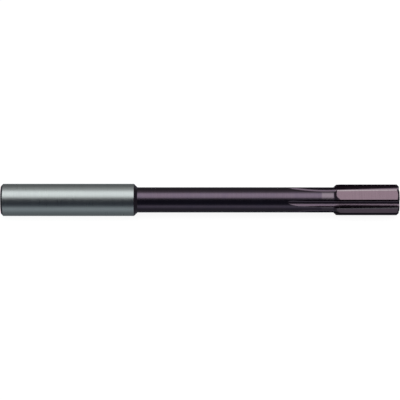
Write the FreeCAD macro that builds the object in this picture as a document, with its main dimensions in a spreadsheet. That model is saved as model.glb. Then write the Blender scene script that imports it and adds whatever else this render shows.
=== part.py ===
import FreeCAD, Part
import Sketcher
import os
import math

# Machine reamer, straight shank, straight flutes, six teeth with unequal spacing.
# Frame: the tool lies along X. The shank's rear end face is at X = 0 with the axis
# through the origin, and the cutting end points to +X. +Z is up, millimetres.

doc = FreeCAD.newDocument("machine_reamer")

# ---------------------------------------------------------------- driving sizes
sheet = doc.addObject("Spreadsheet::Sheet", "Dims")
SIZES = [
    # overall turned form
    ("overall_length", 148.0, "rear end face to front end face"),
    ("shank_dia", 12.0, "straight shank, h6"),
    ("shank_length", 49.45, "rear end face to the end of the full diameter"),
    ("shank_chamfer", 0.75, "45 degree chamfer at the rear end"),
    ("neck_dia", 9.4, "recessed neck"),
    ("neck_end", 123.7, "rear end face to the foot of the head's rear bevel"),
    ("cutting_dia", 12.0, "diameter over the cutting edges"),
    ("lead_chamfer", 0.9, "45 degree lead chamfer, axial length"),
    # centre holes
    ("rear_centre_dia", 4.2, "mouth of the 60 degree rear centre hole"),
    ("rear_pilot_dia", 1.6, "pilot of the rear centre hole"),
    ("rear_centre_depth", 4.4, "full depth of the rear centre hole"),
    ("front_centre_dia", 3.2, "mouth of the 60 degree front centre hole"),
    ("front_pilot_dia", 1.2, "pilot of the front centre hole"),
    ("front_centre_depth", 3.4, "full depth of the front centre hole"),
    # land relief
    ("margin_angle", 1.15, "width of the circular margin behind each edge, degrees"),
    ("relief_angle", 20.0, "clearance of the flat relief behind the margin, degrees"),
    ("relief_reach", 42.0, "angle that one relief cut spans, degrees"),
    ("relief_outer", 8.0, "outer corner of the relief cut, radius"),
    # flute section, for the flute whose rake face lies in the XZ plane
    ("rake_fillet", 1.304, "radius between rake face and flute floor"),
    ("rake_fillet_height", 4.795, "height of that radius' centre above the axis"),
    ("blend_angle", 8.0, "where the rake radius passes into the back radius, degrees"),
    ("back_radius", 2.422, "radius of the flute's back"),
    ("back_end_angle", 62.0, "where the back radius ends, degrees"),
    ("back_straight", 4.0, "straight run beyond the back radius"),
    ("flute_top", 9.5, "outer limit of the flute section"),
    # flute path
    ("wheel_radius", 100.0, "radius of the wheel that leaves the run-out"),
    ("deepest_station", 121.0, "where the flute is deepest"),
    ("runout_lift", 1.35, "lift of the path at the start of the run-out"),
    ("floor_slope", 2.2, "rise of the flute floor towards the tip, degrees"),
    ("path_end", 152.0, "end of the flute path, clear of the tip"),
    # tooth spacing
    ("pitch_one", 60.0, "first tooth pitch, degrees"),
    ("pitch_two", 48.0, "second tooth pitch, degrees"),
    ("pitch_three", 72.0, "third tooth pitch, degrees"),
    ("rest_turn", 54.0, "turn about the axis that the tool rests at, degrees"),
]
sheet.set("A1", "size")
sheet.set("B1", "value")
sheet.set("C1", "note")
for i, (alias, value, note) in enumerate(SIZES):
    row = i + 2
    sheet.set("A%d" % row, alias)
    sheet.set("B%d" % row, repr(value))
    sheet.set("C%d" % row, note)
    sheet.setAlias("B%d" % row, alias)
doc.recompute()


def D(alias):
    return float(getattr(sheet, alias))


def plane(body, role):
    for feature in body.Origin.OriginFeatures:
        if feature.Role == role:
            return feature
    raise RuntimeError("no " + role)


def sketch_on(body, name, role):
    sk = body.newObject("Sketcher::SketchObject", name)
    sk.AttachmentSupport = [(plane(body, role), "")]
    sk.MapMode = "FlatFace"
    return sk


def pin(sk, geo, pos, label, x_value, x_expr, y_value, y_expr):
    """Places one sketch point by its distances from the sketch origin, each
    bound to the sheet. Distances below zero are measured the other way."""
    for kind, value, expr, tag in (("DistanceX", x_value, x_expr, "x"),
                                   ("DistanceY", y_value, y_expr, "y")):
        if abs(value) < 1e-9 and expr is None:
            if kind == "DistanceX":
                sk.addConstraint(Sketcher.Constraint("PointOnObject", geo, pos, -2))
            else:
                sk.addConstraint(Sketcher.Constraint("PointOnObject", geo, pos, -1))
            continue
        if value >= 0:
            con = Sketcher.Constraint(kind, -1, 1, geo, pos, value)
        else:
            con = Sketcher.Constraint(kind, geo, pos, -1, 1, -value)
            expr = "-(" + expr + ")"
        index = sk.addConstraint(con)
        name = label + "_" + tag
        sk.renameConstraint(index, name)
        sk.setExpression("Constraints." + name, expr)


def polygon(sk, points):
    """Closed polygon through (label, x, x_expr, y, y_expr) points."""
    n = len(points)
    for i in range(n):
        a, b = points[i], points[(i + 1) % n]
        sk.addGeometry(Part.LineSegment(FreeCAD.Vector(a[1], a[3], 0),
                                        FreeCAD.Vector(b[1], b[3], 0)), False)
    for i in range(n):
        sk.addConstraint(Sketcher.Constraint("Coincident", i, 2, (i + 1) % n, 1))
    for i, (label, x, xe, y, ye) in enumerate(points):
        pin(sk, i, 1, label, x, xe, y, ye)


reamer = doc.addObject("PartDesign::Body", "reamer")
reamer.Label = "reamer"
X_AXIS = plane(reamer, "X_Axis")

# ---------------------------------------------------------------- turned blank
# Half section above the axis: rear chamfer, shank, 45 degree shoulder, neck,
# 45 degree rear bevel of the head, head, lead chamfer.
shank_r = D("shank_dia") / 2
neck_r = D("neck_dia") / 2
cut_r = D("cutting_dia") / 2
L = D("overall_length")
blank_sketch = sketch_on(reamer, "blank_section", "XZ_Plane")
polygon(blank_sketch, [
    ("rear_axis", 0.0, None, 0.0, None),
    ("rear_face", 0.0, None, shank_r - D("shank_chamfer"), "Dims.shank_dia / 2 - Dims.shank_chamfer"),
    ("shank_start", D("shank_chamfer"), "Dims.shank_chamfer", shank_r, "Dims.shank_dia / 2"),
    ("shank_end", D("shank_length"), "Dims.shank_length", shank_r, "Dims.shank_dia / 2"),
    ("neck_start", D("shank_length") + shank_r - neck_r,
     "Dims.shank_length + Dims.shank_dia / 2 - Dims.neck_dia / 2", neck_r, "Dims.neck_dia / 2"),
    ("neck_finish", D("neck_end"), "Dims.neck_end", neck_r, "Dims.neck_dia / 2"),
    ("head_start", D("neck_end") + cut_r - neck_r,
     "Dims.neck_end + Dims.cutting_dia / 2 - Dims.neck_dia / 2", cut_r, "Dims.cutting_dia / 2"),
    ("lead_start", L - D("lead_chamfer"), "Dims.overall_length - Dims.lead_chamfer",
     cut_r, "Dims.cutting_dia / 2"),
    ("tip_edge", L, "Dims.overall_length", cut_r - D("lead_chamfer"),
     "Dims.cutting_dia / 2 - Dims.lead_chamfer"),
    ("tip_axis", L, "Dims.overall_length", 0.0, None),
])
blank = reamer.newObject("PartDesign::Revolution", "turned_blank")
blank.Profile = (blank_sketch, [""])
blank.ReferenceAxis = (X_AXIS, [""])
blank.Angle = 360.0
blank_sketch.Visibility = False
doc.recompute()


# ---------------------------------------------------------------- centre holes
def centre_hole(tag, at_tip):
    """60 degree centre with a pilot, cut as a groove about the axis."""
    mouth = D(tag + "_centre_dia") / 2
    pilot = D(tag + "_pilot_dia") / 2
    depth = D(tag + "_centre_depth")
    cone = (mouth - pilot) / math.tan(math.radians(30))
    sk = sketch_on(reamer, tag + "_centre_section", "XZ_Plane")
    if at_tip:
        def x(value):
            return L - value

        def xe(expr):
            return "Dims.overall_length - (" + expr + ")"
    else:
        def x(value):
            return value

        def xe(expr):
            return expr
    cone_e = "(Dims.%s_centre_dia - Dims.%s_pilot_dia) / 2 / tan(30 deg)" % (tag, tag)
    zero_x = (x(0.0), "Dims.overall_length") if at_tip else (0.0, None)
    polygon(sk, [
        ("mouth_axis", zero_x[0], zero_x[1], 0.0, None),
        ("mouth", zero_x[0], zero_x[1], mouth, "Dims.%s_centre_dia / 2" % tag),
        ("cone_end", x(cone), xe(cone_e), pilot, "Dims.%s_pilot_dia / 2" % tag),
        ("pilot_end", x(depth), xe("Dims.%s_centre_depth" % tag), pilot, "Dims.%s_pilot_dia / 2" % tag),
        ("pilot_tip", x(depth + pilot * 0.58), xe("Dims.%s_centre_depth + Dims.%s_pilot_dia / 2 * 0.58" % (tag, tag)),
         0.0, None),
    ])
    groove = reamer.newObject("PartDesign::Groove", tag + "_centre_hole")
    groove.Profile = (sk, [""])
    groove.ReferenceAxis = (X_AXIS, [""])
    groove.Angle = 360.0
    sk.Visibility = False
    doc.recompute()
    return groove


rear_centre = centre_hole("rear", False)
front_centre = centre_hole("front", True)

# ---------------------------------------------------------------- land relief
# One triangular cut takes the land down to a flat behind the circular margin.
# It runs from the tip back over the head and passes clear above the neck.
m_ang, c_ang, reach = D("margin_angle"), D("relief_angle"), D("relief_reach")
rad = math.radians
relief_sketch = sketch_on(reamer, "relief_section", "YZ_Plane")
foot_r = cut_r * math.cos(rad(c_ang))
end_ang = m_ang + reach
end_r = foot_r / math.cos(rad(end_ang - m_ang - c_ang))
mid_ang = m_ang + c_ang
M = "Dims.margin_angle * 1 deg"
N = "(Dims.margin_angle + Dims.relief_reach) * 1 deg"
O = "(Dims.margin_angle + Dims.relief_angle) * 1 deg"
END_R = "Dims.cutting_dia / 2 * cos(Dims.relief_angle * 1 deg) / cos((Dims.relief_reach - Dims.relief_angle) * 1 deg)"
polygon(relief_sketch, [
    ("margin_end", cut_r * math.sin(rad(m_ang)), "Dims.cutting_dia / 2 * sin(%s)" % M,
     cut_r * math.cos(rad(m_ang)), "Dims.cutting_dia / 2 * cos(%s)" % M),
    ("flat_end", end_r * math.sin(rad(end_ang)), "%s * sin(%s)" % (END_R, N),
     end_r * math.cos(rad(end_ang)), "%s * cos(%s)" % (END_R, N)),
    ("outer", D("relief_outer") * math.sin(rad(mid_ang)), "Dims.relief_outer * sin(%s)" % O,
     D("relief_outer") * math.cos(rad(mid_ang)), "Dims.relief_outer * cos(%s)" % O),
])
relief_sketch.AttachmentOffset = FreeCAD.Placement(FreeCAD.Vector(0, 0, L + 1), FreeCAD.Rotation())
relief_sketch.setExpression("AttachmentOffset.Base.z", "Dims.overall_length + 1")
relief = reamer.newObject("PartDesign::Pocket", "land_relief")
relief.Profile = (relief_sketch, [""])
relief.Type = "Length"
relief.Length = L + 1 - D("neck_end") + 5
relief.setExpression("Length", "Dims.overall_length + 6 - Dims.neck_end")
relief_sketch.Visibility = False
doc.recompute()

# ---------------------------------------------------------------- flute
# Section: radial rake face, rake radius, back radius, straight back. The wheel's
# path stays in the rake plane: a large arc lifts it out of the neck, and from the
# deepest station the floor rises slightly towards the tip.
Rw, x0, lift, slope = D("wheel_radius"), D("deepest_station"), D("runout_lift"), rad(D("floor_slope"))
x_start = x0 - math.sqrt(Rw * Rw - (Rw - lift) ** 2)
x_tan, z_tan = x0 + Rw * math.sin(slope), Rw * (1 - math.cos(slope))
z_end = z_tan + (D("path_end") - x_tan) * math.tan(slope)

path = sketch_on(reamer, "flute_path", "XZ_Plane")
centre = FreeCAD.Vector(x0, Rw, 0)
a_start = math.atan2(lift - Rw, x_start - x0)
a_end = math.atan2(z_tan - Rw, x_tan - x0)
path.addGeometry(Part.ArcOfCircle(Part.Circle(centre, FreeCAD.Vector(0, 0, 1), Rw), a_start, a_end), False)
path.addGeometry(Part.LineSegment(FreeCAD.Vector(x_tan, z_tan, 0),
                                  FreeCAD.Vector(D("path_end"), z_end, 0)), False)
path.addConstraint(Sketcher.Constraint("Tangent", 0, 2, 1, 1))
pin(path, 0, 3, "wheel_centre", x0, "Dims.deepest_station", Rw, "Dims.wheel_radius")
i = path.addConstraint(Sketcher.Constraint("Radius", 0, Rw))
path.renameConstraint(i, "wheel")
path.setExpression("Constraints.wheel", "Dims.wheel_radius")
i = path.addConstraint(Sketcher.Constraint("DistanceY", -1, 1, 0, 1, lift))
path.renameConstraint(i, "lift")
path.setExpression("Constraints.lift", "Dims.runout_lift")
i = path.addConstraint(Sketcher.Constraint("Angle", 1, slope))
path.renameConstraint(i, "slope")
path.setExpression("Constraints.slope", "Dims.floor_slope * 1 deg")
i = path.addConstraint(Sketcher.Constraint("DistanceX", -1, 1, 1, 2, D("path_end")))
path.renameConstraint(i, "path_end")
path.setExpression("Constraints.path_end", "Dims.path_end")

r1, p1, nb = D("rake_fillet"), D("rake_fillet_height") + lift, rad(D("blend_angle"))
r2, ne = D("back_radius"), rad(D("back_end_angle"))
section = sketch_on(reamer, "flute_section", "YZ_Plane")
section.AttachmentOffset = FreeCAD.Placement(FreeCAD.Vector(0, 0, x_start), FreeCAD.Rotation())
section.setExpression("AttachmentOffset.Base.z",
                      "Dims.deepest_station - sqrt(2 * Dims.wheel_radius * Dims.runout_lift - Dims.runout_lift ^ 2)")
c1 = (-r1, p1)
j = (c1[0] - r1 * math.sin(nb), c1[1] - r1 * math.cos(nb))
c2 = (j[0] + r2 * math.sin(nb), j[1] + r2 * math.cos(nb))
e1 = (c2[0] - r2 * math.sin(ne), c2[1] - r2 * math.cos(ne))
e2 = (e1[0] - D("back_straight") * math.cos(ne), e1[1] + D("back_straight") * math.sin(ne))
top = D("flute_top") + lift
V = FreeCAD.Vector
# 0 rake line, going in; 1 rake radius; 2 back radius; 3 straight back; 4 side; 5 top
section.addGeometry(Part.LineSegment(V(0, top, 0), V(0, p1, 0)), False)
section.addGeometry(Part.ArcOfCircle(Part.Circle(V(c1[0], c1[1], 0), V(0, 0, 1), r1),
                                     math.atan2(j[1] - c1[1], j[0] - c1[0]), 0.0), False)
section.addGeometry(Part.ArcOfCircle(Part.Circle(V(c2[0], c2[1], 0), V(0, 0, 1), r2),
                                     math.atan2(e1[1] - c2[1], e1[0] - c2[0]),
                                     math.atan2(j[1] - c2[1], j[0] - c2[0])), False)
section.addGeometry(Part.LineSegment(V(e1[0], e1[1], 0), V(e2[0], e2[1], 0)), False)
section.addGeometry(Part.LineSegment(V(e2[0], e2[1], 0), V(e2[0], top, 0)), False)
section.addGeometry(Part.LineSegment(V(e2[0], top, 0), V(0, top, 0)), False)
C = Sketcher.Constraint
section.addConstraint([C("Coincident", 0, 2, 1, 2), C("Coincident", 1, 1, 2, 2),
                       C("Coincident", 2, 1, 3, 1), C("Coincident", 3, 2, 4, 1),
                       C("Coincident", 4, 2, 5, 1), C("Coincident", 5, 2, 0, 1)])
LIFT = "Dims.rake_fillet_height + Dims.runout_lift"
pin(section, 0, 2, "rake_foot", 0.0, None, p1, LIFT)
pin(section, 1, 3, "rake_centre", -r1, "-Dims.rake_fillet", p1, LIFT)
JX = "-Dims.rake_fillet - Dims.rake_fillet * sin(Dims.blend_angle * 1 deg)"
JY = LIFT + " - Dims.rake_fillet * cos(Dims.blend_angle * 1 deg)"
C2X = JX + " + Dims.back_radius * sin(Dims.blend_angle * 1 deg)"
C2Y = JY + " + Dims.back_radius * cos(Dims.blend_angle * 1 deg)"
E1X = C2X + " - Dims.back_radius * sin(Dims.back_end_angle * 1 deg)"
E1Y = C2Y + " - Dims.back_radius * cos(Dims.back_end_angle * 1 deg)"
E2X = E1X + " - Dims.back_straight * cos(Dims.back_end_angle * 1 deg)"
E2Y = E1Y + " + Dims.back_straight * sin(Dims.back_end_angle * 1 deg)"
pin(section, 2, 3, "back_centre", c2[0], C2X, c2[1], C2Y)
i = section.addConstraint(C("DistanceX", 1, 1, -1, 1, -j[0]))
section.renameConstraint(i, "blend_x")
section.setExpression("Constraints.blend_x", "-(" + JX + ")")
i = section.addConstraint(C("DistanceX", 2, 1, -1, 1, -e1[0]))
section.renameConstraint(i, "back_end_x")
section.setExpression("Constraints.back_end_x", "-(" + E1X + ")")
pin(section, 3, 2, "straight_end", e2[0], E2X, e2[1], E2Y)
section.addConstraint([C("Vertical", 4), C("Horizontal", 5)])
i = section.addConstraint(C("DistanceY", -1, 1, 5, 2, top))
section.renameConstraint(i, "flute_top")
section.setExpression("Constraints.flute_top", "Dims.flute_top + Dims.runout_lift")
doc.recompute()

flute = reamer.newObject("PartDesign::SubtractivePipe", "flute")
flute.Profile = (section, [""])
flute.Spine = (path, ["Edge1", "Edge2"])
flute.Mode = "Fixed"
flute.Transition = "Transformed"
section.Visibility = False
path.Visibility = False
doc.recompute()

# ---------------------------------------------------------------- six teeth
# Opposite teeth are diametral, and the three pitches of each half differ.
PITCHES = ("pitch_one", "pitch_two", "pitch_three", "pitch_one", "pitch_two")
teeth = reamer.newObject("PartDesign::PolarPattern", "teeth")
teeth.Originals = [relief, flute]
teeth.Axis = (X_AXIS, [""])
teeth.Mode = "Spacing"
teeth.Occurrences = 6
teeth.Spacings = [D(p) for p in PITCHES]
reamer.Tip = teeth
doc.recompute()

# The tool rests turned about its own axis.
reamer.Placement = FreeCAD.Placement(FreeCAD.Vector(0, 0, 0),
                                     FreeCAD.Rotation(FreeCAD.Vector(1, 0, 0), D("rest_turn")))
reamer.setExpression("Placement.Rotation.Angle", "Dims.rest_turn * 1 deg")
doc.recompute()

# ---------------------------------------------------------------- checks
for obj in doc.Objects:
    if "Invalid" in obj.State or "Error" in obj.State:
        raise RuntimeError("%s is %s" % (obj.Label, obj.State))
steps = [blank, rear_centre, front_centre, relief, flute, teeth]
volumes = [s.Shape.Volume for s in steps]
print("volumes", [round(v, 2) for v in volumes])
for a, b, s in zip(volumes, volumes[1:], steps[1:]):
    if not b < a - 1e-3:
        raise RuntimeError("%s removed nothing" % s.Label)

PARTS = [reamer]
for body in PARTS:
    shape = body.Shape
    if shape.isNull() or not shape.isValid():
        raise RuntimeError(body.Label + " has no valid shape")
    if len(shape.Solids) != 1:
        raise RuntimeError(body.Label + " is %d solids" % len(shape.Solids))
    box = shape.optimalBoundingBox()
    print(body.Label, "volume", round(shape.Volume, 1), "box",
          [round(v, 3) for v in (box.XMin, box.YMin, box.ZMin, box.XMax, box.YMax, box.ZMax)])

os.makedirs("parts", exist_ok=True)
for body in PARTS:
    body.Shape.exportStep("parts/%s.step" % body.Label)
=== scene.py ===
import math

import bpy
import numpy as np
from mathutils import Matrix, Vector


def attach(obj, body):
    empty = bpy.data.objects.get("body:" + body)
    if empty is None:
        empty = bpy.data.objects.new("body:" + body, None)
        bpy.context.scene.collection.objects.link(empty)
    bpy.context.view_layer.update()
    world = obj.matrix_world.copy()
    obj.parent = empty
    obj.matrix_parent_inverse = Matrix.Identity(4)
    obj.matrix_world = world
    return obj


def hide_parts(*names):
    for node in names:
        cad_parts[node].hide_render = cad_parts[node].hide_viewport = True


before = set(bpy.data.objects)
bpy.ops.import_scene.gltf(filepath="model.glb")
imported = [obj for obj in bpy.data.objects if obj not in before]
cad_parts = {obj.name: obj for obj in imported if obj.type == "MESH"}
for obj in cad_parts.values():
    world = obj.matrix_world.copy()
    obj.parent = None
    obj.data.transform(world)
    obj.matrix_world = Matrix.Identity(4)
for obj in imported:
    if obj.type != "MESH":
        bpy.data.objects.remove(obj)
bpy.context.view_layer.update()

scene = bpy.context.scene

# ---------------------------------------------------------------- sizes, mm
# The same numbers as the CAD source. The tool's axis is X, its rear face is at x = 0 and its tip at x = 148.
LENGTH = 148.0
SHANK_R, NECK_R, HEAD_R = 6.0, 4.7, 6.0
SHANK_CHAMFER = 0.75
SHANK_END, CONE_END = 49.45, 50.75
NECK_END, HEAD_START = 123.7, 125.0
LEAD = 0.9
REAR_MOUTH_R, REAR_PILOT_R, REAR_DEEP = 2.1, 0.8, 4.4
FRONT_MOUTH_R, FRONT_PILOT_R, FRONT_DEEP = 1.6, 0.6, 3.4
RAKES = [36.0, 108.0, 162.0, 216.0, 288.0, 342.0]      # where each cutting face stands, degrees from -Y towards +Z
MARGIN = 1.15                                           # cylindrical margin behind each edge, degrees
FLAT_R, FLAT_AT = 5.638, 21.15                          # the relieved land: a flat this far from the axis, facing this way
FILLET_R, FILLET_H = 1.30, 4.461
BACK_R, BLEND_A, BACK_A = 2.00, math.radians(8), math.radians(72)
WHEEL_R, DEEPEST = 77.6, 121.0
RUNOUT = DEEPEST + WHEEL_R * math.sin(math.radians(1.8))
FLOOR_SLOPE = math.tan(math.radians(1.8))
STRIP_W, STRIP_TILT = 0.50, 8.5                         # the narrow ground strip along each heel


def depth(x):
    """How far the flute's section is lifted from its deepest place."""
    if x <= RUNOUT:
        t = min(abs(x - DEEPEST), 60.0) if x < DEEPEST else x - DEEPEST
        return WHEEL_R - math.sqrt(WHEEL_R**2 - t * t)
    return WHEEL_R * (1 - math.cos(math.radians(1.8))) + (x - RUNOUT) * FLOOR_SLOPE


def corner(x, at, w=0.05):
    """max(x - at, 0) with its corner rounded over 2 w."""
    d = x - at
    if d <= -w:
        return 0.0
    if d >= w:
        return d
    return (d + w) ** 2 / (4 * w)


def turned(x, da):
    """Radius of the outer form at x, da degrees behind a cutting edge."""
    r = SHANK_R - SHANK_CHAMFER + corner(x, 0.0, 1e-6)
    r -= corner(x, SHANK_CHAMFER)
    r -= corner(x, SHANK_END)
    r += corner(x, CONE_END)
    cut = 0.95 * math.exp(-((max(da, 0.0) / 7.5) ** 1.6))     # the rear corner is taken back further at the edge
    k = (HEAD_R - NECK_R) / (HEAD_START - NECK_END + cut)
    r += k * corner(x, NECK_END) - k * corner(x, HEAD_START + cut)
    drop = 0.006 * max(da, 0.0)                               # clearance behind the lead's edge
    r -= corner(x, LENGTH - LEAD - drop, 0.04)
    return r


def smin(a, b, k):
    h = np.maximum(k - np.abs(a - b), 0) / k
    return np.minimum(a, b) - h * h * k / 4


def land(x, da, strip_at=None):
    """Outer radius of a tooth at da degrees behind its edge."""
    da = np.asarray(da, float)
    base = np.array([turned(x, float(v)) for v in np.atleast_1d(da)])
    d = np.atleast_1d(da)
    flat = np.where(d > 0.0, FLAT_R / np.cos(np.radians(np.clip(d - FLAT_AT, -45, 60))), 9.0)
    flat = np.where(d <= 0.3, 9.0, flat)
    out = smin(base, flat, 0.012)
    if strip_at is not None:
        r0 = min(FLAT_R / math.cos(math.radians(strip_at - FLAT_AT)), HEAD_R)
        tilt = FLAT_AT + STRIP_TILT
        strip = np.where(d > strip_at - 6, r0 * math.cos(math.radians(strip_at - tilt)) / np.cos(np.radians(np.clip(d - tilt, -60, 60))), 9.0)
        out = smin(out, strip, 0.008)
    return out


def flute_line(dl):
    """The flute's section in the frame of the cutting face it serves: (h, p), from far up its back to the top of the rake face."""
    c1 = np.array([-FILLET_R, FILLET_H + dl])
    j = c1 + FILLET_R * np.array([-math.sin(BLEND_A), -math.cos(BLEND_A)])
    c2 = j + BACK_R * np.array([math.sin(BLEND_A), math.cos(BLEND_A)])
    e = c2 + BACK_R * np.array([-math.sin(BACK_A), -math.cos(BACK_A)])
    t = np.linspace(4.0, 0, 70)[:, None]
    back = e + t * np.array([-math.cos(BACK_A), math.sin(BACK_A)])
    a = np.linspace(BACK_A, BLEND_A, 60)[1:, None]
    arc2 = c2 - BACK_R * np.hstack([np.sin(a), np.cos(a)])
    b = np.linspace(-90 - math.degrees(BLEND_A), 0, 90)[1:, None] * math.pi / 180
    arc1 = c1 + FILLET_R * np.hstack([np.cos(b), np.sin(b)])
    w = np.linspace(FILLET_H + dl, 6.6, 40)[1:, None]
    wall = np.hstack([np.zeros_like(w), w]) if w[0, 0] < 6.6 else np.zeros((0, 2))
    return np.vstack([back, arc2, arc1, wall])


# Points around the section: each land has NL points and each flute NF, and three at each corner between them.
NL, NF = 22, 45
PER = NL + NF + 6
RING = 6 * PER
CUT = 0.035
W_MIN = 3.0
VANISH = 106.3
V_AT = math.degrees(math.atan2(-FILLET_R, FILLET_H))


def along(pts, s):
    """Points at the shares s of a polyline's length, weighted towards its tight turns."""
    seg = np.linalg.norm(np.diff(pts, axis=0), axis=1)
    keep = np.concatenate([[True], seg > 1e-9])
    pts = pts[keep]
    seg = np.linalg.norm(np.diff(pts, axis=0), axis=1)
    cum = np.concatenate([[0], np.cumsum(seg)])
    q = np.asarray(s) * cum[-1]
    return np.stack([np.interp(q, cum, pts[:, 0]), np.interp(q, cum, pts[:, 1])], 1)


def polar(a, r):
    a = np.radians(a)
    return np.stack([-np.cos(a) * r, np.sin(a) * r], -1)      # (y, z)


def gap(x, k):
    """For the flute before tooth k: (heel angle, edge angle, its line from heel to edge as (y, z)), angles from that tooth's rake."""
    pitch = (RAKES[k] - RAKES[k - 1]) % 360
    dl = depth(x)
    if x < VANISH:
        return None
    line = flute_line(dl)
    h, p = line[:, 0], line[:, 1]
    ang = np.degrees(np.arctan2(h, p))
    rad = np.hypot(h, p)
    behind = ang + pitch                       # degrees behind the previous tooth's edge
    strip_at = None
    for _ in range(3):
        out_h = land(x, behind[:190], strip_at)
        inside = rad[:190] < out_h
        if not inside.any():
            return None
        i = int(np.argmax(inside))
        if i == 0:
            return None
        f0, f1 = rad[i - 1] - out_h[i - 1], rad[i] - out_h[i]
        u = f0 / (f0 - f1)
        heel = ang[i - 1] * (1 - u) + ang[i] * u
        hp = line[i - 1] * (1 - u) + line[i] * u
        ih = i
        strip_at = pitch + heel - math.degrees(STRIP_W / 6.0)
    top = turned(x, 0.0)
    j = len(line) - 1
    while j > ih and rad[j] >= top:
        j -= 1
    if j <= ih:
        return None
    g0, g1 = rad[j] - top, (rad[j + 1] - top) if j + 1 < len(line) else 1.0
    u = -g0 / (g1 - g0)
    tp = line[j] * (1 - u) + line[min(j + 1, len(line) - 1)] * u
    edge = math.degrees(math.atan2(tp[0], tp[1]))
    pts = np.vstack([hp[None], line[ih:j + 1], tp[None]])
    return heel, edge, pts, strip_at


def turn_hp(pts, k):
    """(h, p) in tooth k's frame to (y, z)."""
    a = math.radians(RAKES[k])
    u = np.array([-math.cos(a), math.sin(a)])      # radial
    v = np.array([math.sin(a), math.cos(a)])       # towards larger angles
    return pts[:, 1:2] * u + pts[:, 0:1] * v


def relax(x):
    """0 where the points crowd round the flutes, 1 where they are spread evenly."""
    t = min(max((VANISH - x) / 16.0, 0.0), 1.0)
    return t * t * (3 - 2 * t)


def ring(x):
    """The section at x: RING points (y, z), tooth by tooth: corner, land, corner, flute."""
    pts = np.zeros((RING, 2))
    gaps = [gap(x, k) for k in range(6)]
    mix = relax(x)
    for k in range(6):
        nxt = (k + 1) % 6
        pitch = (RAKES[nxt] - RAKES[k]) % 360
        g_here, g_next = gaps[k], gaps[nxt]
        # the angular limits of this tooth's land, from its own rake
        def limits(g):
            lo, hi = (V_AT, V_AT) if g is None else (g[0], g[1])
            wl, wh = V_AT - lo, hi - V_AT
            return V_AT - (wl**4 + W_MIN**4) ** 0.25 if wl < 12 else lo, V_AT + (wh**4 + W_MIN**4) ** 0.25 if wh < 12 else hi
        big_here = g_here is not None and (g_here[1] - g_here[0]) > 15
        big_next = g_next is not None and (g_next[1] - g_next[0]) > 15
        a0 = g_here[1] if big_here else limits(g_here)[1]
        a1 = (g_next[0] if big_next else limits(g_next)[0]) + pitch
        b1 = (g_next[1] if big_next else limits(g_next)[1]) + pitch
        if mix > 0:                                   # even spacing on the plain neck and the shank
            step = 360.0 / RING
            e0 = -PER * step * 0.30
            a0 = a0 * (1 - mix) + e0 * mix
            e1 = e0 + (NL + 3) * step + (pitch - 60) * mix * 0
            a1 = a1 * (1 - mix) + e1 * mix
            b1 = b1 * (1 - mix) + (60.0 + e0) * mix if True else b1
        off = RAKES[k]
        if mix > 0:
            off = RAKES[k] * (1 - mix) + (36.0 + 60.0 * k) * mix
        strip_at = g_next[3] if big_next else None
        r_mid = turned(x, 10.0)
        c = math.degrees(CUT / r_mid)
        lo, hi = a0 + c, a1 - c
        # land: the margin, the relieved flat, the strip at the heel
        m = np.array([lo, lo + (MARGIN - lo) * 0.5, MARGIN - 0.12, MARGIN + 0.12]) if lo < MARGIN - 0.3 else np.linspace(lo, lo + 1.5, 4)
        s = strip_at if strip_at is not None else hi - 4.0
        s = min(s, hi - 0.6)
        body = np.linspace(m[-1], s - 0.12, NL - 4 - 3)[1:]
        tail = np.array([s + 0.12, s + (hi - s) * 0.45, s + (hi - s) * 0.8, hi])
        d = np.concatenate([m, body, tail])
        if mix > 0:
            d = d * (1 - mix) + np.linspace(lo, hi, NL) * mix
        r = land(x, d, strip_at)
        base = k * PER
        pts[base + 3:base + 3 + NL] = polar(off + d, r)
        # the corner at the heel, the flute, the corner at the next edge
        if big_next:
            line = g_next[2]
            seg = np.linalg.norm(np.diff(line, axis=0), axis=1).sum()
            q = CUT / seg
            s_ = np.linspace(q, 1 - q, NF)
            fl = turn_hp(along(line, s_), nxt)
            heel_c = turn_hp(line[:1], nxt)[0]
            edge_c = turn_hp(line[-1:], nxt)[0]
        else:
            n_line = 260
            aa = np.linspace(a1, b1, n_line)           # from this tooth's rake
            rr = np.full(n_line, turned(x, 10.0))
            if g_next is not None:
                fl_hp = flute_line(depth(x))
                fa = np.degrees(np.arctan2(fl_hp[:, 0], fl_hp[:, 1])) + pitch
                fr = np.hypot(fl_hp[:, 0], fl_hp[:, 1])
                ok = np.concatenate([[True], np.diff(fa) > 1e-6])
                ok &= fr < 4.79
                lim = np.interp(aa, fa[ok], fr[ok], left=9, right=9)
                rr = smin(rr, lim, 0.004)
            line = polar(off + aa, rr)
            s_ = np.linspace(0.004, 0.996, NF)
            fl = along(line, s_)
            heel_c, edge_c = line[0], line[-1]
        f0 = base + 3 + NL + 3
        pts[f0:f0 + NF] = fl
        last = pts[base + 3 + NL - 1]
        first = fl[0]
        for n_, t in enumerate((0.25, 0.5, 0.75)):
            flatp = last * (1 - t) + first * t
            b = 2 * t * (1 - t)
            pts[base + 3 + NL + n_] = flatp * (1 - b) + heel_c * b if big_next else along(np.vstack([last, heel_c, first]), [t])[0]
        ring_edge[nxt] = (fl[-1], edge_c, big_next)
    for k in range(6):
        base = k * PER
        a, c_, big = ring_edge[k]
        b_ = pts[base + 3]
        for n_, t in enumerate((0.25, 0.5, 0.75)):
            flatp = a * (1 - t) + b_ * t
            w = 2 * t * (1 - t)
            pts[base + n_] = flatp * (1 - w) + c_ * w if big else along(np.vstack([a, c_, b_]), [t])[0]
    if mix > 0 or x < VANISH:
        # exactly round, whatever the chords between the points were
        ang = np.arctan2(pts[:, 1], pts[:, 0])
        rr = turned(x, 10.0)
        pts = np.stack([np.cos(ang) * rr, np.sin(ang) * rr], 1)
    return pts


ring_edge = {}


def spread(a, b, n, power=1.0):
    t = np.linspace(0, 1, n) ** power
    return list(a + (b - a) * t)


def around(at, w, n):
    return list(np.linspace(at - w, at + w, n))


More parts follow.
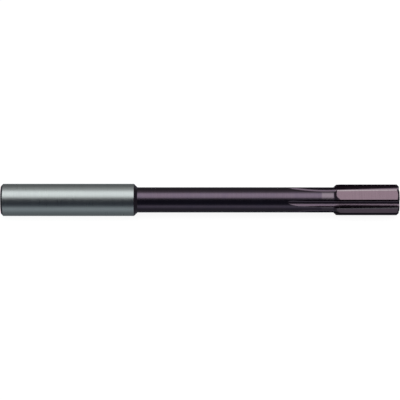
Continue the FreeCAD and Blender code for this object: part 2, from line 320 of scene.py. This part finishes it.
stations = (
    spread(0.04, SHANK_CHAMFER - 0.08, 4) + around(SHANK_CHAMFER, 0.055, 5)
    + [1.2, 2.5, 5, 9, 14, 20, 26, 32, 38, 43, 47, 48.8] + around(SHANK_END, 0.055, 5)
    + spread(SHANK_END + 0.1, CONE_END - 0.1, 5) + around(CONE_END, 0.055, 5)
    + [51.4, 53, 56, 60, 65, 70, 75, 80, 85, 89]
    + spread(90, 106.0, 18) + spread(106.3, 109.0, 14) + spread(109.4, NECK_END - 0.4, 26)
    + around(NECK_END, 0.055, 4) + spread(NECK_END + 0.12, 126.3, 30)
    + [126.8, 127.6, 128.8] + spread(130.5, 145.6, 9)
    + [146.2, 146.5, 146.7] + spread(146.8, 147.25, 9) + spread(147.32, 147.96, 8)
)
stations = sorted(set(round(v, 5) for v in stations))


def rings_with_normals():
    h = 0.002
    out, nor = [], []
    for x in stations:
        p = ring(x)
        q0, q1 = ring(max(x - h, 1e-4)), ring(min(x + h, LENGTH - 1e-4))
        dx = min(x + h, LENGTH - 1e-4) - max(x - h, 1e-4)
        tx = np.concatenate([np.full((RING, 1), dx), q1 - q0], 1)
        nxt, prv = np.roll(p, -1, 0), np.roll(p, 1, 0)
        # tangents around the section, one-sided where a smooth stretch ends
        tj = nxt - prv
        for k in range(6):
            b = k * PER
            i = b + 3
            tj[i] = -3 * p[i] + 4 * p[i + 1] - p[i + 2] if NL > 3 else nxt[i] - p[i]
            i = b + 3 + NL - 1
            tj[i] = 3 * p[i] - 4 * p[i - 1] + p[i - 2]
            i = b + 3 + NL + 3
            tj[i] = -3 * p[i] + 4 * p[i + 1] - p[i + 2]
            i = b + PER - 1
            tj[i] = 3 * p[i] - 4 * p[i - 1] + p[i - 2]
        t3 = np.concatenate([np.zeros((RING, 1)), tj], 1)
        n = np.cross(tx, t3)
        n /= np.maximum(np.linalg.norm(n, axis=1, keepdims=True), 1e-12)
        radial = np.concatenate([np.zeros((RING, 1)), p], 1)
        # outward, judged where the surface is round
        if (n[3] * radial[3]).sum() < 0:
            n = -n
        if x < VANISH - 0.5:
            r = np.linalg.norm(p, axis=1)
            slope = (turned(x + h, 10) - turned(x - h, 10)) / (2 * h)
            n = np.concatenate([np.full((RING, 1), -slope), p / r[:, None]], 1)
            n /= np.linalg.norm(n, axis=1, keepdims=True)
        for k in range(6):
            for i0, i1 in ((k * PER - 1, k * PER + 3), (k * PER + NL + 2, k * PER + NL + 6)):
                a, c = n[i0 % RING], n[i1 % RING]
                for t_, i in enumerate(range(i0 + 1, i1)):
                    t = (t_ + 1) / 4
                    v = a * (1 - t) + c * t
                    n[i % RING] = v / max(np.linalg.norm(v), 1e-9)
        out.append(np.concatenate([np.full((RING, 1), x), p], 1))
        nor.append(n)
    return out, nor


def cap(first_ring, x_face, mouth_r, pilot_r, deep, sign, face_in, tag):
    """Rings from the outer edge of an end face in to the bottom of its centre hole: (points, normals, tags)."""
    p = first_ring[:, 1:]
    a = np.arctan2(p[:, 1], p[:, 0])
    r = np.linalg.norm(p, axis=1)
    u = np.stack([np.cos(a), np.sin(a)], 1)
    rings, normals, tags = [], [], []

    def add(radii, x, nx, nr, tg):
        rr = np.broadcast_to(radii, (RING,))
        rings.append(np.concatenate([np.full((RING, 1), x), u * rr[:, None]], 1))
        v = np.concatenate([np.full((RING, 1), nx), u * nr], 1)
        normals.append(v / np.linalg.norm(v, axis=1, keepdims=True))
        tags.append(tg)

    inner = mouth_r + 0.05
    add(r - 0.018, x_face - sign * 0.012, sign * 0.7, 0.7, tag)
    add(r - 0.045, x_face, sign, 0.0, tag)
    for t in (0.33, 0.66):
        add((r - 0.045) * (1 - t) + inner * t, x_face, sign, 0.0, tag)
    add(inner, x_face, sign, 0.0, tag)
    add(mouth_r - 0.01, x_face - sign * 0.02, sign * 0.87, -0.5, tag)
    # the 60 degree seat
    run = (mouth_r - pilot_r) / math.tan(math.radians(30))
    s30, c30 = math.sin(math.radians(30)), math.cos(math.radians(30))
    add(mouth_r - 0.045, x_face - sign * 0.07, sign * s30, -c30, tag + 1)
    add((mouth_r + pilot_r) / 2, x_face - sign * run / 2, sign * s30, -c30, tag + 1)
    add(pilot_r + 0.02, x_face - sign * (run - 0.04), sign * s30, -c30, tag + 1)
    add(pilot_r, x_face - sign * (run + 0.03), 0.0, -1.0, tag + 1)
    floor_x = x_face - sign * deep
    add(pilot_r, floor_x + sign * 0.05, 0.0, -1.0, tag + 1)
    c59 = math.tan(math.radians(31))
    add(pilot_r * 0.93, floor_x - sign * 0.01, sign * 0.85, -0.5, tag + 1)
    add(pilot_r * 0.3, floor_x - sign * (pilot_r * 0.7) * c59, sign * 0.86, -0.5, tag + 1)
    tip = (floor_x - sign * pilot_r * c59, 0.0, 0.0)
    return rings, normals, tags, tip


def build():
    body, body_n = rings_with_normals()
    kinds = [0] * len(body)
    rear_r, rear_n, rear_t, rear_tip = cap(body[0], 0.0, REAR_MOUTH_R, REAR_PILOT_R, REAR_DEEP, -1, None, 1)
    front_r, front_n, front_t, front_tip = cap(body[-1], LENGTH, FRONT_MOUTH_R, FRONT_PILOT_R, FRONT_DEEP, 1, None, 3)
    rings = rear_r[::-1] + body + front_r
    norms = rear_n[::-1] + body_n + front_n
    kinds = rear_t[::-1] + kinds + front_t
    n = len(rings)
    co = np.concatenate(rings + [np.array([rear_tip]), np.array([front_tip])], 0) / 1000.0
    nn = np.concatenate(norms + [np.array([[-1.0, 0, 0]]), np.array([[1.0, 0, 0]])], 0)
    i = np.arange(n - 1)[:, None] * RING
    j = np.arange(RING)[None, :]
    j2 = (j + 1) % RING
    quads = np.stack([i + j, i + RING + j, i + RING + j2, i + j2], -1).reshape(-1, 4)
    rear_c, front_c = n * RING, n * RING + 1
    jj = np.arange(RING)
    tri_r = np.stack([np.full(RING, rear_c), jj, (jj + 1) % RING], 1)
    last = (n - 1) * RING
    tri_f = np.stack([np.full(RING, front_c), last + (jj + 1) % RING, last + jj], 1)
    # which way round is outward: test one quad on the shank
    mid = (len(rear_r) + 12) * RING
    a, b, c = co[quads[mid, 0]], co[quads[mid, 1]], co[quads[mid, 2]]
    if np.dot(np.cross(b - a, c - a), np.array([0, *a[1:]])) < 0:
        quads, tri_r, tri_f = quads[:, ::-1], tri_r[:, ::-1], tri_f[:, ::-1]
    me = bpy.data.meshes.new("machine_reamer")
    faces = quads.tolist() + tri_r.tolist() + tri_f.tolist()
    me.from_pydata(co.tolist(), [], faces)
    me.update()
    # what each point belongs to
    total = len(co)
    kind = np.concatenate([np.repeat(kinds, RING), [2, 4]]).astype(np.float32)
    jpos = np.concatenate([np.tile(np.arange(RING), n), [0, 0]]) % PER
    x = co[:, 0] * 1000
    in_flute = (jpos >= NL + 6) & (kind == 0) & (x > VANISH)
    r_here = np.hypot(co[:, 1], co[:, 2]) * 1000
    flute = in_flute & (r_here < np.where(x < NECK_END, NECK_R - 0.004, 5.98))
    strip = (jpos >= NL - 1) & (jpos <= NL + 4) & (kind == 0) & (x > HEAD_START - 0.1)
    edge = ((jpos <= 4) | (jpos == PER - 1)) & (kind == 0) & (x > HEAD_START)
    heel_line = (jpos >= NL + 2) & (jpos <= NL + 6) & (kind == 0) & (x > 107.5)
    rake_line = ((jpos <= 3) | (jpos >= PER - 1)) & (kind == 0) & (x > 107.5)
    for name, data in (("kind", kind), ("flute", flute), ("strip", strip), ("edge", edge), ("arris", heel_line | rake_line)):
        at = me.attributes.new(name, "FLOAT", "POINT")
        at.data.foreach_set("value", np.asarray(data, np.float32))
    me.polygons.foreach_set("use_smooth", np.ones(len(faces), bool))
    me.normals_split_custom_set_from_vertices([Vector(v) for v in nn])
    me.validate()
    ob = bpy.data.objects.new("machine_reamer", me)
    scene.collection.objects.link(ob)
    return ob


# ---------------------------------------------------------------- materials
class Nodes:
    """A short way to write a node tree."""

    def __init__(self, tree):
        self.t = tree
        self.n = tree.nodes
        self.l = tree.links

    def put(self, socket, value):
        if isinstance(value, bpy.types.NodeSocket):
            self.l.new(value, socket)
        elif value is not None:
            socket.default_value = value

    def math(self, op, a, b=None, c=None, clamp=False):
        m = self.n.new("ShaderNodeMath")
        m.operation = op
        m.use_clamp = clamp
        for i, v in enumerate((a, b, c)):
            if v is not None:
                self.put(m.inputs[i], v)
        return m.outputs[0]

    def mix(self, f, a, b, blend="MIX"):
        m = self.n.new("ShaderNodeMix")
        m.data_type = "RGBA"
        m.blend_type = blend
        self.put(m.inputs[0], f)
        self.put(m.inputs[6], a)
        self.put(m.inputs[7], b)
        return m.outputs[2]

    def lerp(self, f, a, b):
        m = self.n.new("ShaderNodeMix")
        m.data_type = "FLOAT"
        self.put(m.inputs[0], f)
        self.put(m.inputs[2], a)
        self.put(m.inputs[3], b)
        return m.outputs[0]

    def span(self, v, a, b, c=0.0, d=1.0, smooth=True):
        m = self.n.new("ShaderNodeMapRange")
        m.interpolation_type = "SMOOTHSTEP" if smooth else "LINEAR"
        m.clamp = True
        for i, q in enumerate((v, a, b, c, d)):
            self.put(m.inputs[i], q)
        return m.outputs[0]

    def attr(self, name):
        a = self.n.new("ShaderNodeAttribute")
        a.attribute_name = name
        return a.outputs["Fac"]

    def noise(self, vec, scale, detail=2.0, rough=0.5, dim="3D"):
        a = self.n.new("ShaderNodeTexNoise")
        a.noise_dimensions = dim
        self.put(a.inputs["Vector"], vec)
        a.inputs["Scale"].default_value = scale
        a.inputs["Detail"].default_value = detail
        a.inputs["Roughness"].default_value = rough
        return a.outputs["Fac"]

    def xyz(self, x, y, z):
        c = self.n.new("ShaderNodeCombineXYZ")
        for i, v in enumerate((x, y, z)):
            self.put(c.inputs[i], v)
        return c.outputs[0]

    def split(self, v):
        s = self.n.new("ShaderNodeSeparateXYZ")
        self.put(s.inputs[0], v)
        return s.outputs[0], s.outputs[1], s.outputs[2]


def tool_material():
    m = bpy.data.materials.new("tool_steel")
    m.use_nodes = True
    g = Nodes(m.node_tree)
    g.n.clear()
    out = g.n.new("ShaderNodeOutputMaterial")
    bsdf = g.n.new("ShaderNodeBsdfPrincipled")
    g.l.new(bsdf.outputs[0], out.inputs[0])
    bsdf.inputs["Metallic"].default_value = 1.0
    coord = g.n.new("ShaderNodeTexCoord").outputs["Object"]
    x, y, z = g.split(coord)
    mm = g.math("MULTIPLY", x, 1000.0)
    ym, zm = g.math("MULTIPLY", y, 1000.0), g.math("MULTIPLY", z, 1000.0)
    rad = g.math("SQRT", g.math("ADD", g.math("MULTIPLY", ym, ym), g.math("MULTIPLY", zm, zm)))
    kind = g.attr("kind")
    face_any = g.math("GREATER_THAN", kind, 0.5)
    hole = g.math("ADD", g.math("COMPARE", kind, 2.0, 0.4), g.math("COMPARE", kind, 4.0, 0.4), clamp=True)
    flute, strip, edge, arris = (g.attr(n) for n in ("flute", "strip", "edge", "arris"))

    # where the coating starts: at the end of the shank, with an edge that is not quite even
    wav = g.noise(g.xyz(g.math("MULTIPLY", mm, 0.2), ym, zm), 0.9, 3.0)
    start = g.math("ADD", SHANK_END - 0.02, g.math("MULTIPLY", g.math("SUBTRACT", wav, 0.5), 0.10))
    coat = g.span(mm, g.math("SUBTRACT", start, 0.05), g.math("ADD", start, 0.07))
    head = g.span(mm, NECK_END - 0.4, HEAD_START + 0.6)

    # grinding marks. Round the shank and neck they run as rings; along the flutes they run lengthwise.
    rings_v = g.xyz(g.math("MULTIPLY", mm, 9.0), g.math("MULTIPLY", ym, 0.16), g.math("MULTIPLY", zm, 0.16))
    rings_f = g.noise(rings_v, 1.0, 4.0, 0.62)
    rings_c = g.noise(g.xyz(g.math("MULTIPLY", mm, 1.7), g.math("MULTIPLY", ym, 0.05), g.math("MULTIPLY", zm, 0.05)), 1.0, 3.0, 0.55)
    turn_v = g.xyz(g.math("MULTIPLY", rad, 9.0), g.math("MULTIPLY", ym, 0.10), g.math("MULTIPLY", zm, 0.10))
    turn_f = g.noise(turn_v, 1.0, 3.0, 0.6)
    long_v = g.xyz(g.math("MULTIPLY", mm, 0.10), g.math("MULTIPLY", ym, 7.0), g.math("MULTIPLY", zm, 7.0))
    long_f = g.noise(long_v, 1.0, 4.0, 0.62)
    marks = g.lerp(flute, rings_f, long_f)
    marks = g.lerp(face_any, marks, turn_f)

    # stray hairlines and the soft clouding of handled, oiled steel
    cloud = g.noise(coord, 240.0, 3.0, 0.55)
    fine = g.noise(coord, 2600.0, 2.0, 0.5)
    scratch_v = g.xyz(g.math("MULTIPLY", mm, 0.55), g.math("MULTIPLY", ym, 3.2), g.math("MULTIPLY", zm, 3.2))
    scr = g.noise(scratch_v, 2.1, 2.0, 0.6)
    scratch = g.span(g.math("ABSOLUTE", g.math("SUBTRACT", scr, 0.5)), 0.0, 0.006, 1.0, 0.0)
    patch = g.span(g.noise(coord, 160.0, 2.0), 0.52, 0.66)
    scratch = g.math("MULTIPLY", scratch, patch)

    # painted sheen and shade by facing: the steel's colour is lifted towards grazing angles and the coating's colour
    # darkened
    turn = g.n.new("ShaderNodeLayerWeight")
    turn.inputs["Blend"].default_value = 0.5
    lean = g.math("SUBTRACT", 1.0, turn.outputs["Facing"], clamp=True)   # 1 face on, 0 edge on
    painted_sheen = g.span(lean, 0.93, 0.62, 1.0, 1.18)
    painted_shade = g.span(lean, 0.93, 0.70, 1.0, 0.62)

    # colours
    steel = g.mix(g.span(marks, 0.3, 0.7), (0.570, 0.622, 0.618, 1), (0.610, 0.664, 0.660, 1))
    steel = g.mix(g.span(cloud, 0.35, 0.7, 0.0, 0.35), steel, (0.575, 0.615, 0.622, 1))
    violet = g.mix(g.span(marks, 0.3, 0.7), (0.158, 0.121, 0.164, 1), (0.186, 0.146, 0.192, 1))
    violet = g.mix(g.span(cloud, 0.40, 0.72, 0.0, 0.6), violet, (0.150, 0.120, 0.172, 1))
    rosy = g.mix(g.span(marks, 0.3, 0.7), (0.220, 0.156, 0.190, 1), (0.256, 0.182, 0.220, 1))
    skin = g.mix(head, violet, rosy)
    inside = g.mix(g.span(marks, 0.3, 0.7), (0.150, 0.112, 0.150, 1), (0.190, 0.146, 0.186, 1))
    skin = g.mix(g.math("MULTIPLY", flute, 0.75), skin, inside)
    # the ground strip along each heel is coloured as bare metal, patchy along its length; this lighter colour is also a
    # painted highlight along the heel
    bare = g.mix(g.span(marks, 0.35, 0.65), (0.44, 0.375, 0.405, 1), (0.53, 0.46, 0.49, 1))
    bare_strip_highlight = g.math("MULTIPLY", strip, g.span(g.noise(g.xyz(g.math("MULTIPLY", mm, 0.8), ym, zm), 1.4, 3.0), 0.25, 0.5, 0.78, 1.0))
    skin = g.mix(bare_strip_highlight, skin, bare)
    # lighter colour along the heel and rake arrises, and more weakly along the cutting edges, patchy; kept off the bare
    # heel strip
    arris_lightening = g.math("MULTIPLY", g.math("MAXIMUM", arris, g.math("MULTIPLY", edge, 0.45)), g.span(g.noise(coord, 900.0, 3.0), 0.35, 0.62, 0.25, 0.85))
    skin = g.mix(g.math("MULTIPLY", arris_lightening, g.math("SUBTRACT", 1.0, bare_strip_highlight, clamp=True)), skin, (0.34, 0.29, 0.33, 1))
    # painted highlight: a lighter band on the coating from 118.9 to 123.7 mm, kept off the flutes
    painted_light_band = g.math("MULTIPLY", g.math("MULTIPLY", g.span(mm, 118.9, 119.5), g.span(mm, 123.3, 123.7, 1.0, 0.0)), g.math("SUBTRACT", 1.0, flute, clamp=True))
    skin = g.mix(g.math("MULTIPLY", painted_light_band, 0.8), skin, (0.275, 0.225, 0.262, 1))
    # painted shade: the shank's rear chamfer is darkened almost to black in its colour
    painted_chamfer_shade = g.math("MULTIPLY", g.span(mm, 0.80, 0.72), g.math("LESS_THAN", kind, 0.5))
    steel = g.mix(g.math("MULTIPLY", painted_chamfer_shade, 0.85), steel, (0.030, 0.034, 0.038, 1))
    grey = g.n.new("ShaderNodeCombineColor")
    for i in range(3):
        g.put(grey.inputs[i], painted_sheen)
    dim = g.n.new("ShaderNodeCombineColor")
    for i in range(3):
        g.put(dim.inputs[i], painted_shade)
    # the painted sheen on the steel and the painted shade on the coating
    steel = g.mix(1.0, steel, grey.outputs[0], "MULTIPLY")
    skin = g.mix(1.0, skin, dim.outputs[0], "MULTIPLY")
    colour = g.mix(coat, steel, skin)
    scratched = g.mix(g.math("MULTIPLY", scratch, g.lerp(coat, 0.25, 0.35)), colour, g.mix(coat, (0.70, 0.73, 0.73, 1), (0.30, 0.26, 0.30, 1)))
    dark_hole = g.mix(0.55, scratched, (0.12, 0.12, 0.13, 1))
    colour = g.mix(hole, scratched, dark_hole)
    g.put(bsdf.inputs["Base Color"], colour)

    # roughness
    rs = g.lerp(g.span(rings_c, 0.3, 0.7), 0.285, 0.325)
    rs = g.math("ADD", rs, g.math("MULTIPLY", g.math("SUBTRACT", marks, 0.5), 0.10))
    rs = g.math("ADD", rs, g.math("MULTIPLY", g.math("SUBTRACT", cloud, 0.5), 0.06))
    rc = g.lerp(g.span(cloud, 0.3, 0.7), 0.175, 0.215)
    rc = g.math("ADD", rc, g.math("MULTIPLY", g.math("SUBTRACT", marks, 0.5), 0.07))
    rc = g.math("ADD", rc, g.math("MULTIPLY", flute, 0.035))
    rough = g.lerp(coat, rs, rc)
    rough = g.math("ADD", rough, g.math("MULTIPLY", hole, 0.12))
    g.put(bsdf.inputs["Roughness"], rough)

    # relief, in metres: grinding marks are a micron or less deep
    height = g.math("MULTIPLY", g.math("SUBTRACT", marks, 0.5), 1.0)
    height = g.math("ADD", height, g.math("MULTIPLY", g.math("SUBTRACT", fine, 0.5), 0.25))
    height = g.math("SUBTRACT", height, g.math("MULTIPLY", scratch, 0.5))
    bump = g.n.new("ShaderNodeBump")
    bump.inputs["Strength"].default_value = 0.35
    bump.inputs["Distance"].default_value = 0.0000025
    g.put(bump.inputs["Height"], height)
    g.l.new(bump.outputs[0], bsdf.inputs["Normal"])
    return m


def floor_material():
    m = bpy.data.materials.new("floor")
    m.use_nodes = True
    g = Nodes(m.node_tree)
    g.n.clear()
    out = g.n.new("ShaderNodeOutputMaterial")
    bsdf = g.n.new("ShaderNodeBsdfPrincipled")
    bsdf.inputs["Base Color"].default_value = (0.22, 0.22, 0.22, 1)
    bsdf.inputs["Roughness"].default_value = 0.9
    bsdf.inputs["Emission Color"].default_value = (1, 1, 1, 1)
    bsdf.inputs["Emission Strength"].default_value = 0.93
    g.l.new(bsdf.outputs[0], out.inputs[0])
    return m


def studio():
    """Soft light by direction: a broad overhead source, a dim room in front and behind, a weak bounce from below."""
    w = bpy.data.worlds.new("studio")
    scene.world = w
    w.use_nodes = True
    g = Nodes(w.node_tree)
    g.n.clear()
    out = g.n.new("ShaderNodeOutputWorld")
    bg = g.n.new("ShaderNodeBackground")
    g.l.new(bg.outputs[0], out.inputs[0])
    v = g.n.new("ShaderNodeTexCoord").outputs["Generated"]
    x, y, z = g.split(v)
    ang = g.math("ARCTAN2", z, g.math("MULTIPLY", y, -1.0))            # -pi..pi, 0 at the front, pi/2 overhead
    share = g.math("ADD", g.math("MULTIPLY", ang, 0.5 / math.pi), 0.5)   # 0..1
    ramp = g.n.new("ShaderNodeValToRGB")
    ramp.color_ramp.interpolation = "EASE"
    els = ramp.color_ramp.elements
    while len(els) > 1:
        els.remove(els[-1])
    first = True
    for deg, lum in SKY:
        p = (deg + 180.0) / 360.0
        if first:
            els[0].position = p
            e = els[0]
            first = False
        else:
            e = els.new(p)
        c = lum
        e.color = (c[0], c[1], c[2], 1) if isinstance(c, tuple) else (c, c, c, 1)
    g.l.new(share, ramp.inputs[0])
    ends = g.span(g.math("ABSOLUTE", x), 0.80, 0.97)
    col = g.mix(ends, ramp.outputs[0], (0.095, 0.10, 0.11, 1))
    g.put(bg.inputs["Color"], col)
    bg.inputs["Strength"].default_value = 1.0


COOL = (0.86, 0.93, 1.0)
NIGHT = (0.66, 0.74, 1.0)


def tone(l, c=(1.0, 1.0, 1.0)):
    return tuple(l * v for v in c)


SKY = [
    (-180, tone(0.18, COOL)), (-150, tone(0.18, COOL)), (-110, tone(0.14, COOL)), (-70, tone(0.14, COOL)), (-52, tone(0.22, COOL)),
    (-30, tone(0.37, COOL)), (-17, tone(0.22, COOL)), (-7, tone(0.050, NIGHT)),
    (20, tone(0.034, NIGHT)), (38, tone(0.036, NIGHT)), (49, tone(0.22)), (58, 0.92), (70, 1.12), (88, 1.15), (98, 1.00), (106, 0.50),
    (118, 0.27), (150, 0.12), (170, 0.10), (180, tone(0.18, COOL)),
]

# ---------------------------------------------------------------- the scene
reamer = build()
reamer.data.materials.append(tool_material())
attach(reamer, "root")
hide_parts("reamer")

half = 4.0
fm = bpy.data.meshes.new("floor")
fm.from_pydata([(-half, -half, -0.006), (half, -half, -0.006), (half, half, -0.006), (-half, half, -0.006)], [], [(0, 1, 2, 3)])
floor = bpy.data.objects.new("floor", fm)
scene.collection.objects.link(floor)
floor.data.materials.append(floor_material())
floor.visible_glossy = False

studio()

cam_data = bpy.data.cameras.new("camera")
cam_data.lens = 191.0
cam_data.sensor_width = 36.0
cam_data.clip_start = 0.01
cam_data.clip_end = 20.0
cam = bpy.data.objects.new("camera", cam_data)
scene.collection.objects.link(cam)
elev = math.radians(36.0)
dist = 0.7907
drop = 0.000042                                         # the axis sits just above the middle row
cam.location = (0.07403, -dist * math.cos(elev) - drop * math.sin(elev), dist * math.sin(elev) - drop * math.cos(elev))
cam.rotation_euler = (math.radians(90.0) - elev, 0.0, 0.0)
scene.camera = cam

scene.view_settings.view_transform = "Standard"
scene.view_settings.look = "None"
